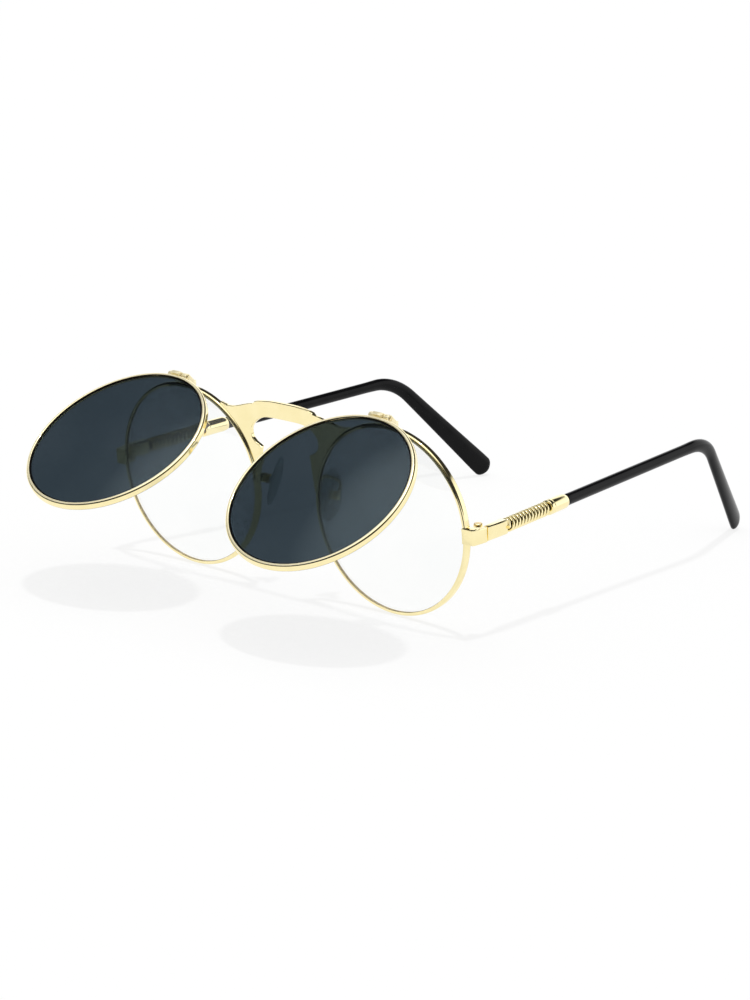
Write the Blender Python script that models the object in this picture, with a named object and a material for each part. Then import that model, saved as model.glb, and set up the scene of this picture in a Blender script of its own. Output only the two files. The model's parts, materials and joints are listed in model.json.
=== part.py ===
"""Flip-up reading glasses: round wire rims with clear lenses, and tinted lenses that flip up in front.

Metres and degrees. +X is the wearer's left, -Y is the way the wearer looks, +Z is up.
The front is drawn in the plane of its rims: x across, y back, z up from the rims' centre line.
"""
from math import acos, asin, ceil, cos, pi, radians, sin, sqrt

import bmesh
import bpy
from mathutils import Matrix, Vector

# Front: rims, lenses and how the rims' plane leans
LENS_SPACING = 0.0698
RIM_RADIUS = 0.0244
RIM_WALL = 0.0011
RIM_DEPTH = 0.0018
RIM_ROUNDING = 0.00025
GROOVE_DEPTH = 0.0005
FRONT_TILT = 5.735
LENS_EDGE = 0.0016
LENS_CENTRE = 0.0021
LENS_CURVE = 0.160
CLEARANCE = 0.0003
PIN_CLEARANCE = 0.00012

# Bridge plate, one half. Beside the rim: degrees round the rim and distance from the seam that it is
# soldered at. Over the nose: x and height above the rims' tops.
BRIDGE_THICKNESS = 0.0012
BRIDGE_SETBACK = 0.0002
BRIDGE_TOP = [(0.0, 0.0001), (0.0044, 0.00003), (0.00835, -0.0004), (0.01005, -0.0008)]
BRIDGE_SHOULDER = [(135.9, 0.0085), (133.7, 0.0067), (128.7, 0.0027), (124.7, 0.00095)]
BRIDGE_SEAM_START = 119.2
BRIDGE_LIMB = [(171.9, 0.0002), (168.7, 0.0008), (165.2, 0.0013), (160.8, 0.0022), (157.9, 0.0029),
               (155.2, 0.0039)]
ARCH_SIDE = [(151.7, 0.0026), (148.4, 0.0022), (145.7, 0.0027), (144.0, 0.0035), (143.1, 0.0054)]
ARCH_CROWN = [(0.00845, -0.00525), (0.0059, -0.00445), (0.0, -0.0043)]

# Flip-up rings and their hinges on the rims' tops
FLIP_OVERLAP = 0.00025
FLIP_RISE = 0.0013
FLIP_RING_WALL = 0.0011
FLIP_RING_DEPTH = 0.0018
DARK_LENS_THICKNESS = 0.0014
FLIP_AXIS_AHEAD = 0.00144
FLIP_RING_AHEAD = 0.00022
FLIP_KNUCKLE_RADIUS = 0.00095
FLIP_PIN_RADIUS = 0.00035
FLIP_PIN_HEAD_RADIUS = 0.0006
FLIP_PIN_HEAD = 0.0003
FLIP_SIDE_KNUCKLE = 0.0016
FLIP_MIDDLE_KNUCKLE = 0.0026
FLIP_BASE_DEPTH = 0.0014
FLIP_BASE_HEIGHT = 0.0011
FLIP_BASE_SETBACK = 0.0002
FLIP_LEAF_DEPTH = 0.0014
FLIP_REST_LEFT = 58.6
FLIP_REST_RIGHT = 62.6

# End pieces, which carry the temples and close the rims
END_HEIGHT = 0.0039
END_RISE = 0.0007
END_DEPTH = 0.0026
END_REACH = 0.0025
END_LENGTH = 0.0032
END_SPLAY = 10.4
END_CORNER = 0.00035
END_ARM = 0.0014
END_FACE = 0.00045
LOCK_HEIGHT = 0.0016
LOCK_REACH = 0.00165
LOCK_SCREW_RADIUS = 0.00035
LOCK_SCREW_OUT = 0.0009
LOCK_SCREW_WALL = 0.00028
LOCK_SCREW_HEAD_RADIUS = 0.0006
LOCK_SCREW_HEAD = 0.0004
LOCK_SCREW_GRIP = 0.0009

# Temple hinges
TEMPLE_KNUCKLE_RADIUS = 0.0012
TEMPLE_KNUCKLE_HEIGHT = 0.0013
HINGE_SCREW_RADIUS = 0.0005
HINGE_SCREW_HEAD_RADIUS = 0.0011
HINGE_SCREW_HEAD = 0.0003

# Temples
TOE_IN_LEFT = 3.0
TOE_IN_RIGHT = 4.2
TEMPLE_DIP = 2.3
BAR_LENGTH = 0.0076
BAR_HEIGHT = 0.0038
BAR_END_HEIGHT = 0.0038
BAR_END_THICKNESS = 0.0026
ROD_RADIUS = 0.0005
SPRING_SPACE = 0.0187
SPRING_OUTER_RADIUS = 0.0019
SPRING_WIRE = 0.00072
SPRING_TURNS = 12.5
SPRING_POINTS = 8
FERRULE_LENGTH = 0.0078
FERRULE_RADIUS = 0.0020
FERRULE_END_RADIUS = 0.0018
STRAIGHT_LENGTH = 0.0945
BEND_LENGTH = 0.0145
BEND_ANGLE = 46.6
DROP_LENGTH = 0.0382
PADDLE_TURN = 11.0
TIP_HEIGHT = 0.0032
TIP_THICKNESS = 0.0026
PADDLE_HEIGHT = 0.0062
PADDLE_ROUNDING = 0.0024
ROD_INSET = 0.0200

# Nose pads, their boxes and arms
PAD_LENGTH = 0.0135
PAD_WIDTH = 0.0072
PAD_THICKNESS = 0.0019
PAD_SPLAY = 25.0
PAD_LEAN = 14.0
PAD_PITCH = 16.0
PAD_PIVOT = (0.0121, 0.0053, 0.0011)
PAD_STANDOFF = 0.0023
PAD_ROCK = 12.0
PAD_ARM_RADIUS = 0.00045
PAD_ARM_RISE = 0.0065
PAD_LUG_RADIUS = 0.0007
PAD_LUG_THICKNESS = 0.0008
PAD_BOX_WALL = 0.00045
PAD_BOX_HEIGHT = 0.0022
PAD_SCREW_RADIUS = 0.0003
PAD_SCREW_HEAD_RADIUS = 0.0006
PAD_SCREW_HEAD = 0.00035

# Counts of flat facets
RING_FACETS = 48
BARREL_FACETS = 16
SMALL_FACETS = 12
TIP_FACETS = 12

# Sizes worked out from those above
HALF_SPACING = LENS_SPACING / 2
RIM_INNER = RIM_RADIUS - RIM_WALL / 2
RIM_OUTER = RIM_RADIUS + RIM_WALL / 2
GROOVE_GAP = CLEARANCE * sqrt(2)
TILT = radians(FRONT_TILT)
RIM_CENTRE_HEIGHT = RIM_OUTER * cos(TILT) + RIM_DEPTH / 2 * sin(TILT)
FLIP_RING_RADIUS = RIM_RADIUS + FLIP_OVERLAP
FLIP_AXIS_Y = -(RIM_DEPTH / 2 + FLIP_AXIS_AHEAD)
FLIP_RING_DROP = FLIP_RING_RADIUS + FLIP_RING_WALL / 2 + CLEARANCE + FLIP_KNUCKLE_RADIUS
FLIP_AXIS_Z = FLIP_RISE + FLIP_RING_DROP
FLIP_RING_Y = -(FLIP_RING_AHEAD + FLIP_RING_DEPTH / 2)
END_INNER = HALF_SPACING + RIM_INNER - CLEARANCE
END_OUTER = HALF_SPACING + RIM_OUTER + END_REACH
END_BOTTOM = END_RISE - END_HEIGHT / 2
END_TOP = END_RISE + END_HEIGHT / 2
END_BACK = END_LENGTH
HINGE_Y = END_BACK + CLEARANCE / 2
HINGE_X = END_OUTER + (END_BACK + END_DEPTH / 2 - END_CORNER) * sin(radians(END_SPLAY)) - END_ARM \
    - CLEARANCE - TEMPLE_KNUCKLE_RADIUS
BAR_INNER = TEMPLE_KNUCKLE_RADIUS + CLEARANCE
BAR_CENTRE = BAR_INNER + END_ARM / 2
FERRULE_START = BAR_LENGTH + SPRING_SPACE
TIP_START = FERRULE_START + FERRULE_LENGTH
LOCK_TOP = END_BOTTOM + LOCK_HEIGHT
LOCK_OUTER = HALF_SPACING + RIM_OUTER + LOCK_REACH
LOCK_SCREW_X = HALF_SPACING + RIM_OUTER + LOCK_SCREW_OUT
LOCK_FRONT = -END_DEPTH / 2 + END_FACE + CLEARANCE
LOCK_SCREW_Y = LOCK_FRONT + LOCK_SCREW_RADIUS + 2 * PIN_CLEARANCE + LOCK_SCREW_WALL


def clear_scene():
    for item in list(bpy.data.objects):
        bpy.data.objects.remove(item, do_unlink=True)


def new_material(name, colour, roughness, metallic, alpha=1.0):
    material = bpy.data.materials.new(name)
    material.use_nodes = True
    shader = material.node_tree.nodes["Principled BSDF"]
    shader.inputs["Base Color"].default_value = (*colour, 1.0)
    shader.inputs["Roughness"].default_value = roughness
    shader.inputs["Metallic"].default_value = metallic
    shader.inputs["Alpha"].default_value = alpha
    material.diffuse_color = (*colour, alpha)
    return material


def new_empty(name, parent, location, rotation=(0.0, 0.0, 0.0)):
    empty = bpy.data.objects.new(name, None)
    empty.empty_display_size = 0.005
    empty.parent = parent
    empty.location = location
    empty.rotation_euler = rotation
    bpy.context.collection.objects.link(empty)
    return empty


def new_object(name, bm):
    bmesh.ops.recalc_face_normals(bm, faces=bm.faces)
    mesh = bpy.data.meshes.new(name)
    bm.to_mesh(mesh)
    bm.free()
    item = bpy.data.objects.new(name, mesh)
    bpy.context.collection.objects.link(item)
    return item


def finish(item, parent, material):
    """Put a finished piece under its parent, with its own copy of the material and smooth rounds."""
    item.parent = parent
    own = material.copy()
    own.name = item.name + "_" + material.name
    item.data.materials.clear()
    item.data.materials.append(own)
    if item.type == "MESH":
        item.data.shade_smooth()
        item.data.set_sharp_from_angle(angle=radians(35))
    return item


def combine(base, tool, operation):
    """Join a tool solid to the base or cut it away, and keep the result as the base's own mesh."""
    modifier = base.modifiers.new(operation.title(), "BOOLEAN")
    modifier.object = tool
    modifier.operation = operation
    modifier.solver = "EXACT"
    shape = base.evaluated_get(bpy.context.evaluated_depsgraph_get())
    mesh = bpy.data.meshes.new_from_object(shape)
    base.modifiers.clear()
    base.data = mesh
    bpy.data.objects.remove(tool, do_unlink=True)
    return base


def loft(name, rings, looped=False):
    """Skin rings of equal point counts. A looped loft joins its last ring to its first."""
    bm = bmesh.new()
    rows = [[bm.verts.new(point) for point in ring] for ring in rings]
    count = len(rows[0])
    last = len(rows) if looped else len(rows) - 1
    for index in range(last):
        row = rows[index]
        following = rows[(index + 1) % len(rows)]
        for corner in range(count):
            after = (corner + 1) % count
            bm.faces.new((row[corner], row[after], following[after], following[corner]))
    if not looped:
        bm.faces.new(rows[0])
        bm.faces.new(rows[-1])
    return new_object(name, bm)


def prism(name, outline, low, high, axis="Z"):
    """Stretch a flat outline along an axis. The outline's pairs are the other two axes in order."""
    place = {
        "X": lambda a, b, height: (height, a, b),
        "Y": lambda a, b, height: (a, height, b),
        "Z": lambda a, b, height: (a, b, height),
    }[axis]
    return loft(name, [[place(a, b, height) for a, b in outline] for height in (low, high)])


def box(name, low, high):
    outline = [(low[0], low[1]), (high[0], low[1]), (high[0], high[1]), (low[0], high[1])]
    return prism(name, outline, low[2], high[2])


def circle(radius, count, centre=(0.0, 0.0), start=0.0):
    steps = [start + 2 * pi * index / count for index in range(count)]
    return [(centre[0] + radius * cos(step), centre[1] + radius * sin(step)) for step in steps]


def rod(name, radius, low, high, centre=(0.0, 0.0), axis="Z", count=BARREL_FACETS):
    return prism(name, circle(radius, count, centre), low, high, axis)


def hull_of(points):
    """The points of a flat outline's convex hull, in order."""
    ordered = sorted(set(points))

    def half(sequence):
        chain = []
        for point in sequence:
            while len(chain) > 1:
                (ax, ay), (bx, by) = chain[-2], chain[-1]
                if (bx - ax) * (point[1] - ay) - (by - ay) * (point[0] - ax) > 0:
                    break
                chain.pop()
            chain.append(point)
        return chain[:-1]

    return half(ordered) + half(reversed(ordered))


def curve_through(points, steps):
    """A smooth curve through points of any dimension, with some steps between each two."""
    knots = [Vector(point) for point in points]
    knots = [2 * knots[0] - knots[1]] + knots + [2 * knots[-1] - knots[-2]]
    result = []
    for index in range(1, len(knots) - 2):
        before, here, there, after = knots[index - 1:index + 3]
        for step in range(steps):
            t = step / steps
            result.append(0.5 * (2 * here + (there - before) * t
                                 + (2 * before - 5 * here + 4 * there - after) * t * t
                                 + (3 * here - before - 3 * there + after) * t * t * t))
    result.append(knots[-2])
    return result


def tube(name, path, radius, count):
    """A round wire along a path, its section carried along without twist."""
    rings = []
    side = None
    for index, point in enumerate(path):
        ahead = path[min(index + 1, len(path) - 1)]
        behind = path[max(index - 1, 0)]
        along = (ahead - behind).normalized()
        if side is None:
            side = along.orthogonal().normalized()
        side = (side - along * side.dot(along)).normalized()
        over = along.cross(side)
        rings.append([point + side * (radius * a) + over * (radius * b) for a, b in circle(1.0, count)])
    return loft(name, rings)


def ring_section(centre_radius, wall, depth):
    """Section of a lens ring, as radius and depth: rounded outside, with a groove for the lens inside."""
    inner = centre_radius - wall / 2
    outer = centre_radius + wall / 2
    half = depth / 2
    rounding = min(RIM_ROUNDING, wall / 3, depth / 3)
    return [(inner, -half), (outer - rounding, -half), (outer, rounding - half), (outer, half - rounding),
            (outer - rounding, half), (inner, half), (inner, GROOVE_DEPTH), (inner + GROOVE_DEPTH, 0.0),
            (inner, -GROOVE_DEPTH)]


def swept_ring(name, section, centre, start, end, facets):
    """Sweep a section of radius and depth round an axis along y. A full turn is closed on itself."""
    whole = end - start > 2 * pi - 1e-6
    stops = facets if whole else facets + 1
    rings = []
    for index in range(stops):
        turn = start + (end - start) * index / facets
        rings.append([(centre[0] + r * cos(turn), centre[1] + y, centre[2] + r * sin(turn))
                      for r, y in section])
    return loft(name, rings, looped=whole)


def lens_profile(edge_radius, edge_thickness, centre_thickness, curve):
    """Half section of a lens, from the middle of its front to the middle of its back, as radius and y."""
    half = edge_thickness / 2
    bevel = min(GROOVE_DEPTH + CLEARANCE - GROOVE_GAP, half)
    front_sag = curve - sqrt(curve ** 2 - edge_radius ** 2)
    back_sag = front_sag + edge_thickness - centre_thickness
    profile = []
    for share in (0.25, 0.65):
        profile.append((edge_radius * share, -half - front_sag * (1 - share ** 2)))
    profile.append((edge_radius, -half))
    profile.append((edge_radius, -bevel))
    profile.append((edge_radius + bevel, 0.0))
    profile.append((edge_radius, bevel))
    profile.append((edge_radius, half))
    for share in (0.65, 0.25):
        profile.append((edge_radius * share, half - back_sag * (1 - share ** 2)))
    return profile


def lens(name, ring_inner, centre, edge_thickness, centre_thickness, curve):
    profile = lens_profile(ring_inner - CLEARANCE, edge_thickness, centre_thickness, curve)
    rings = []
    for radius, depth in profile:
        rings.append([(centre[0] + a, centre[1] + depth, centre[2] + b)
                      for a, b in circle(radius, RING_FACETS)])
    return loft(name, rings)


def build_rim(side, name, front, gold):
    """A wire rim, open at its outer side, where the end piece and the lock close it."""
    top = asin((END_TOP + CLEARANCE) / RIM_INNER)
    bottom = asin((END_BOTTOM - CLEARANCE) / RIM_INNER)
    start, end = (top, 2 * pi + bottom) if side > 0 else (pi - bottom, 3 * pi - top)
    section = ring_section(RIM_RADIUS, RIM_WALL, RIM_DEPTH)
    rim = swept_ring(name + "_rim", section, (side * HALF_SPACING, 0.0, 0.0), start, end, RING_FACETS)
    finish(rim, front, gold)


def lens_seat(side):
    """The space of the lens and its groove, for cutting what stands at the rim."""
    reach = END_DEPTH
    inner = RIM_INNER
    profile = [(inner / 4, -reach), (inner, -reach), (inner, -GROOVE_DEPTH), (inner + GROOVE_DEPTH, 0.0),
               (inner, GROOVE_DEPTH), (inner, reach), (inner / 4, reach)]
    rings = [[(side * HALF_SPACING + a, depth, b) for a, b in circle(radius, 2 * RING_FACETS)]
             for radius, depth in profile]
    return loft("lens_seat", rings)


def build_clear_lens(side, name, front, clear):
    centre = (side * HALF_SPACING, 0.0, 0.0)
    item = lens(name + "_lens", RIM_INNER, centre, LENS_EDGE, LENS_CENTRE, LENS_CURVE)
    finish(item, front, clear)


def beside_rim(points):
    """Points given as degrees round the left rim and distance from its seam, as x and z."""
    edge = RIM_OUTER + CLEARANCE
    return [(HALF_SPACING + (edge + gap) * cos(radians(turn)), (edge + gap) * sin(radians(turn)))
            for turn, gap in points]


def build_bridge(front, gold):
    """The flat bridge plate, with the nose arch between its two tapering limbs."""
    last_turn = BRIDGE_LIMB[0][0]
    seam = [(BRIDGE_SEAM_START + (last_turn - BRIDGE_SEAM_START) * step / 14, 0.0) for step in range(15)]
    top = [(x, RIM_OUTER + rise) for x, rise in BRIDGE_TOP]
    crown = [(x, RIM_OUTER + rise) for x, rise in ARCH_CROWN]
    outline = []
    for run in (top, beside_rim(BRIDGE_SHOULDER)):
        outline += [tuple(point) for point in curve_through(run, 2)]
    outline += beside_rim(seam)
    outline += [tuple(point) for point in curve_through(beside_rim(BRIDGE_LIMB), 2)][1:]
    outline += [tuple(point) for point in curve_through(beside_rim(ARCH_SIDE) + crown, 2)]
    mirrored = [(-x, z) for x, z in reversed(outline) if x > 1e-9]
    front_face = -BRIDGE_THICKNESS / 2 + BRIDGE_SETBACK
    plate = prism("bridge_plate", outline + mirrored, front_face, front_face + BRIDGE_THICKNESS, "Y")
    finish(plate, front, gold)


def end_outline(side):
    """Plan of an end piece: across the rim, round the corner and back to the temple."""
    half = END_DEPTH / 2
    back_x = END_OUTER + (END_BACK + half - END_CORNER) * sin(radians(END_SPLAY))
    points = [(END_INNER, -half), (END_OUTER - END_CORNER, -half), (END_OUTER, END_CORNER - half),
              (back_x, END_BACK), (back_x - END_ARM, END_BACK), (END_OUTER - END_ARM, half),
              (END_INNER, half)]
    return [(side * x, y) for x, y in points]


def build_end_piece(side, name, front, gold, steel):
    hinge = (side * HINGE_X, HINGE_Y)
    piece = prism(name + "_end_piece", end_outline(side), END_BOTTOM, END_TOP)
    knuckle = (END_HEIGHT - TEMPLE_KNUCKLE_HEIGHT) / 2 - CLEARANCE
    arm_x = side * (HINGE_X + BAR_INNER + END_ARM / 8)
    web = [(arm_x, HINGE_Y - TEMPLE_KNUCKLE_RADIUS * 0.7), (arm_x, HINGE_Y - TEMPLE_KNUCKLE_RADIUS * 1.4)]
    outline = hull_of(circle(TEMPLE_KNUCKLE_RADIUS, BARREL_FACETS, hinge) + web)
    for low in (END_BOTTOM, END_TOP - knuckle):
        piece = combine(piece, prism("knuckle", outline, low, low + knuckle), "UNION")
    hole_radius = HINGE_SCREW_RADIUS + PIN_CLEARANCE
    piece = combine(piece, rod("bore", hole_radius, END_BOTTOM - 0.001, END_TOP + 0.001, hinge), "DIFFERENCE")
    pocket_x = sorted((side * (END_INNER - 0.001), side * (LOCK_OUTER + CLEARANCE)))
    pocket = box("pocket", (pocket_x[0], LOCK_FRONT - CLEARANCE, END_BOTTOM - 0.001),
                 (pocket_x[1], END_DEPTH / 2 + CLEARANCE, LOCK_TOP + CLEARANCE))
    piece = combine(piece, pocket, "DIFFERENCE")
    lock_centre = (side * LOCK_SCREW_X, LOCK_SCREW_Y)
    lock_hole = LOCK_SCREW_RADIUS + PIN_CLEARANCE
    thread_top = LOCK_TOP + CLEARANCE + LOCK_SCREW_GRIP
    socket = rod("socket", lock_hole, END_BOTTOM, thread_top + CLEARANCE, lock_centre, count=SMALL_FACETS)
    piece = combine(piece, socket, "DIFFERENCE")
    piece = combine(piece, lens_seat(side), "DIFFERENCE")
    finish(piece, front, gold)

    lock_x = sorted((side * END_INNER, side * LOCK_OUTER))
    lock = box(name + "_rim_lock", (lock_x[0], LOCK_FRONT, END_BOTTOM), (lock_x[1], END_DEPTH / 2, LOCK_TOP))
    lock = combine(lock, rod("bore", lock_hole, END_BOTTOM - 0.001, LOCK_TOP + 0.001, lock_centre,
                             count=SMALL_FACETS), "DIFFERENCE")
    lock = combine(lock, lens_seat(side), "DIFFERENCE")
    finish(lock, front, gold)

    head_top = END_BOTTOM - PIN_CLEARANCE
    build_screw(name + "_lock_screw", lock_centre, (head_top - LOCK_SCREW_HEAD, head_top, thread_top),
                (LOCK_SCREW_HEAD_RADIUS, LOCK_SCREW_RADIUS), front, steel)
    head_bottom = END_TOP + PIN_CLEARANCE
    build_screw(name + "_hinge_screw", hinge, (head_bottom + HINGE_SCREW_HEAD, head_bottom, END_BOTTOM),
                (HINGE_SCREW_HEAD_RADIUS, HINGE_SCREW_RADIUS), front, steel)


def build_screw(name, centre, levels, radii, parent, steel, axis="Z"):
    """A screw along an axis: its head's crown, the head's seat and the shank's end are at the levels."""
    crown, seat, end = levels
    head, shank = radii
    dome = crown + (seat - crown) * 0.35
    steps = [(head * 0.7, crown), (head, dome), (head, seat), (shank, seat), (shank, end)]
    rings = []
    for radius, level in steps:
        points = circle(radius, SMALL_FACETS, centre)
        if axis == "Z":
            rings.append([(a, b, level) for a, b in points])
        else:
            rings.append([(a, level, b) for a, b in points])
    finish(loft(name, rings), parent, steel)


def build_flip_base(side, name, front, gold, steel):
    """The hinge base on a rim's top: a saddle that follows the rim, and two side knuckles on it."""
    centre_x = side * HALF_SPACING
    half_width = FLIP_MIDDLE_KNUCKLE / 2 + CLEARANCE + FLIP_SIDE_KNUCKLE
    back = RIM_DEPTH / 2 - FLIP_BASE_SETBACK
    ahead = back - FLIP_BASE_DEPTH
    saddle_top = RIM_OUTER + CLEARANCE + FLIP_BASE_HEIGHT
    rings = []
    for step in range(7):
        x = half_width * (step / 3 - 1)
        bottom = sqrt((RIM_OUTER + CLEARANCE) ** 2 - x ** 2)
        rings.append([(centre_x + x, ahead, bottom), (centre_x + x, back, bottom),
                      (centre_x + x, back, saddle_top), (centre_x + x, ahead, saddle_top)])
    base = loft(name + "_flip_base", rings)
    barrel = circle(FLIP_KNUCKLE_RADIUS, BARREL_FACETS, (FLIP_AXIS_Y, FLIP_AXIS_Z))
    foot = [(ahead, saddle_top - FLIP_BASE_HEIGHT / 2), (back, saddle_top - FLIP_BASE_HEIGHT / 2)]
    outline = hull_of(barrel + foot)
    for direction in (-1, 1):
        near = centre_x + direction * (FLIP_MIDDLE_KNUCKLE / 2 + CLEARANCE)
        far = centre_x + direction * half_width
        base = combine(base, prism("arm", outline, min(near, far), max(near, far), "X"), "UNION")
    bore = rod("bore", FLIP_PIN_RADIUS + PIN_CLEARANCE, centre_x - half_width - 0.001,
               centre_x + half_width + 0.001, (FLIP_AXIS_Y, FLIP_AXIS_Z), "X")
    finish(combine(base, bore, "DIFFERENCE"), front, gold)

    reach = half_width + PIN_CLEARANCE
    head_end = reach + FLIP_PIN_HEAD
    head_rim = reach + FLIP_PIN_HEAD / 2
    crown = FLIP_PIN_HEAD_RADIUS * 0.7
    stations = [(crown, -head_end), (FLIP_PIN_HEAD_RADIUS, -head_rim), (FLIP_PIN_HEAD_RADIUS, -reach),
                (FLIP_PIN_RADIUS, -reach), (FLIP_PIN_RADIUS, reach), (FLIP_PIN_HEAD_RADIUS, reach),
                (FLIP_PIN_HEAD_RADIUS, head_rim), (crown, head_end)]
    rings = [[(centre_x + x, a, b) for a, b in circle(radius, BARREL_FACETS, (FLIP_AXIS_Y, FLIP_AXIS_Z))]
             for radius, x in stations]
    finish(loft(name + "_flip_pin", rings), front, steel)


def build_flip(side, name, rest, front, gold, tinted):
    """The flip-up lens, drawn as if closed, about its hinge axis, and turned up to where it rests."""
    axis = new_empty(name + "_flip_axis", front, (side * HALF_SPACING, FLIP_AXIS_Y, FLIP_AXIS_Z),
                     (-radians(rest), 0.0, 0.0))
    centre = (0.0, FLIP_RING_Y, -FLIP_RING_DROP)
    section = ring_section(FLIP_RING_RADIUS, FLIP_RING_WALL, FLIP_RING_DEPTH)
    ring = swept_ring(name + "_flip_ring", section, centre, 0.0, 2 * pi, RING_FACETS)
    finish(ring, axis, gold)
    inner = FLIP_RING_RADIUS - FLIP_RING_WALL / 2
    dark = lens(name + "_flip_lens", inner, centre, DARK_LENS_THICKNESS, DARK_LENS_THICKNESS, LENS_CURVE)
    finish(dark, axis, tinted)

    half = FLIP_MIDDLE_KNUCKLE / 2
    outer = FLIP_RING_RADIUS + FLIP_RING_WALL / 2 + CLEARANCE
    front_y = FLIP_RING_Y - FLIP_LEAF_DEPTH / 2
    back_y = FLIP_RING_Y + FLIP_LEAF_DEPTH / 2
    rings = []
    for step in range(5):
        x = half * (step / 2 - 1)
        bottom = sqrt(outer ** 2 - x ** 2) - FLIP_RING_DROP
        rings.append([(x, front_y, bottom), (x, back_y, bottom), (x, back_y, 0.0), (x, front_y, 0.0)])
    leaf = loft(name + "_flip_leaf", rings)
    barrel = circle(FLIP_KNUCKLE_RADIUS, BARREL_FACETS)
    outline = hull_of(barrel + [(front_y, 0.0), (front_y, -FLIP_KNUCKLE_RADIUS / 2)])
    leaf = combine(leaf, prism("barrel", outline, -half, half, "X"), "UNION")
    bore = rod("bore", FLIP_PIN_RADIUS + PIN_CLEARANCE, -half - 0.001, half + 0.001, axis="X")
    finish(combine(leaf, bore, "DIFFERENCE"), axis, gold)


def temple_route(side, distance):
    """Point and direction of a temple's centre line at a distance from its front end."""
    along = Vector((0.0, 1.0, 0.0))
    bend, turn = radians(BEND_ANGLE), radians(PADDLE_TURN)
    final = Vector((-side * sin(turn), cos(turn) * cos(bend), -cos(turn) * sin(bend)))
    angle = acos(along.dot(final))
    across = (final - along * along.dot(final)).normalized()
    start = Vector((side * BAR_CENTRE, 0.0, 0.0))
    if distance <= STRAIGHT_LENGTH:
        return start + along * distance, along
    radius = BEND_LENGTH / angle
    swept = min((distance - STRAIGHT_LENGTH) / radius, angle)
    point = start + along * (STRAIGHT_LENGTH + radius * sin(swept)) + across * (radius * (1 - cos(swept)))
    direction = along * cos(swept) + across * sin(swept)
    beyond = distance - STRAIGHT_LENGTH - BEND_LENGTH
    if beyond > 0:
        point += final * beyond
    return point, direction


def temple_ring(side, distance, outline):
    """A section across a temple: the outline's pairs are outwards and upwards from the centre line."""
    point, direction = temple_route(side, distance)
    outward = direction.cross(Vector((0.0, 0.0, 1.0))).normalized() * side
    upward = (outward.cross(direction) * side).normalized()
    return [point + outward * a + upward * b for a, b in outline]


def chamfered(half_width, half_height, cut):
    return [(half_width, cut - half_height), (half_width, half_height - cut),
            (half_width - cut, half_height), (cut - half_width, half_height),
            (-half_width, half_height - cut), (-half_width, cut - half_height),
            (cut - half_width, -half_height), (half_width - cut, -half_height)]


def stations_between(start, end, step):
    """Distances from start to end: few along straight stretches, more round the bend."""
    marks = [start, end]
    if start < STRAIGHT_LENGTH < end:
        bend_end = min(STRAIGHT_LENGTH + BEND_LENGTH, end)
        count = max(2, ceil((bend_end - STRAIGHT_LENGTH) / step))
        stretch = bend_end - STRAIGHT_LENGTH
        marks += [STRAIGHT_LENGTH + stretch * index / count for index in range(count + 1)]
    return sorted(set(marks))


def build_temple_bar(side, name, hinge, gold):
    """The bar, its hinge knuckle, and the rod that runs on through the spring into the tip."""
    dip = Matrix.Rotation(-radians(TEMPLE_DIP), 4, "X")
    rod_end = STRAIGHT_LENGTH + BEND_LENGTH + DROP_LENGTH - ROD_INSET
    start = CLEARANCE / 2
    rod_outline = circle(ROD_RADIUS, 8, start=-pi / 8)
    first = chamfered(END_ARM / 2, BAR_HEIGHT / 2, 0.00025)
    second = chamfered(BAR_END_THICKNESS / 2, BAR_END_HEIGHT / 2, 0.0004)
    rings = [temple_ring(side, start, first), temple_ring(side, BAR_LENGTH, second)]
    for distance in stations_between(BAR_LENGTH, rod_end, 0.0024):
        rings.append(temple_ring(side, distance, rod_outline))
    bar = loft(name + "_temple_bar", [[dip @ Vector(point) for point in ring] for ring in rings])
    web_x = side * (BAR_INNER + END_ARM / 4)
    web = [(web_x, TEMPLE_KNUCKLE_RADIUS * 0.7), (web_x, TEMPLE_KNUCKLE_RADIUS * 2.4)]
    outline = hull_of(circle(TEMPLE_KNUCKLE_RADIUS, BARREL_FACETS) + web)
    half = TEMPLE_KNUCKLE_HEIGHT / 2
    bar = combine(bar, prism("knuckle", outline, -half, half), "UNION")
    bore = rod("bore", HINGE_SCREW_RADIUS + PIN_CLEARANCE, -half - 0.001, half + 0.001)
    finish(combine(bar, bore, "DIFFERENCE"), hinge, gold)


def spring_path(side):
    """Centre line of the coil spring: straight ends square to the bar and the ferrule, turns between."""
    radius = SPRING_OUTER_RADIUS - SPRING_WIRE / 2
    first = BAR_LENGTH + CLEARANCE
    last = FERRULE_START - CLEARANCE
    lead = SPRING_WIRE * 2
    sweep = radians(50)
    turning = 2 * pi * SPRING_TURNS
    ends = [(0.0, first), (0.0, first + SPRING_WIRE * 0.5), (0.0, first + SPRING_WIRE)]
    for step in range(1, 4):
        angle = pi / 2 * step / 4
        ends.append((sweep * (1 - cos(angle)), first + SPRING_WIRE + (lead - SPRING_WIRE) * sin(angle)))
    count = round(SPRING_TURNS * SPRING_POINTS)
    turns = []
    for step in range(count + 1):
        share = step / count
        turns.append((sweep + turning * share, first + lead + (last - first - 2 * lead) * share))
    whole = 2 * sweep + turning
    mirrored = [(whole - angle, first + last - distance) for angle, distance in reversed(ends)]
    path = []
    for angle, distance in ends + turns + mirrored:
        path.append(Vector((side * (BAR_CENTRE + radius * cos(angle)), distance, radius * sin(angle))))
    return path


def least_gap(path, wire):
    """Least gap of a coiled wire to itself, measured between points over half a turn apart."""
    apart = SPRING_POINTS // 2 + 1
    nearest = min((path[low] - path[high]).length
                  for low in range(len(path)) for high in range(low + apart, len(path)))
    return nearest - wire


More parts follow.
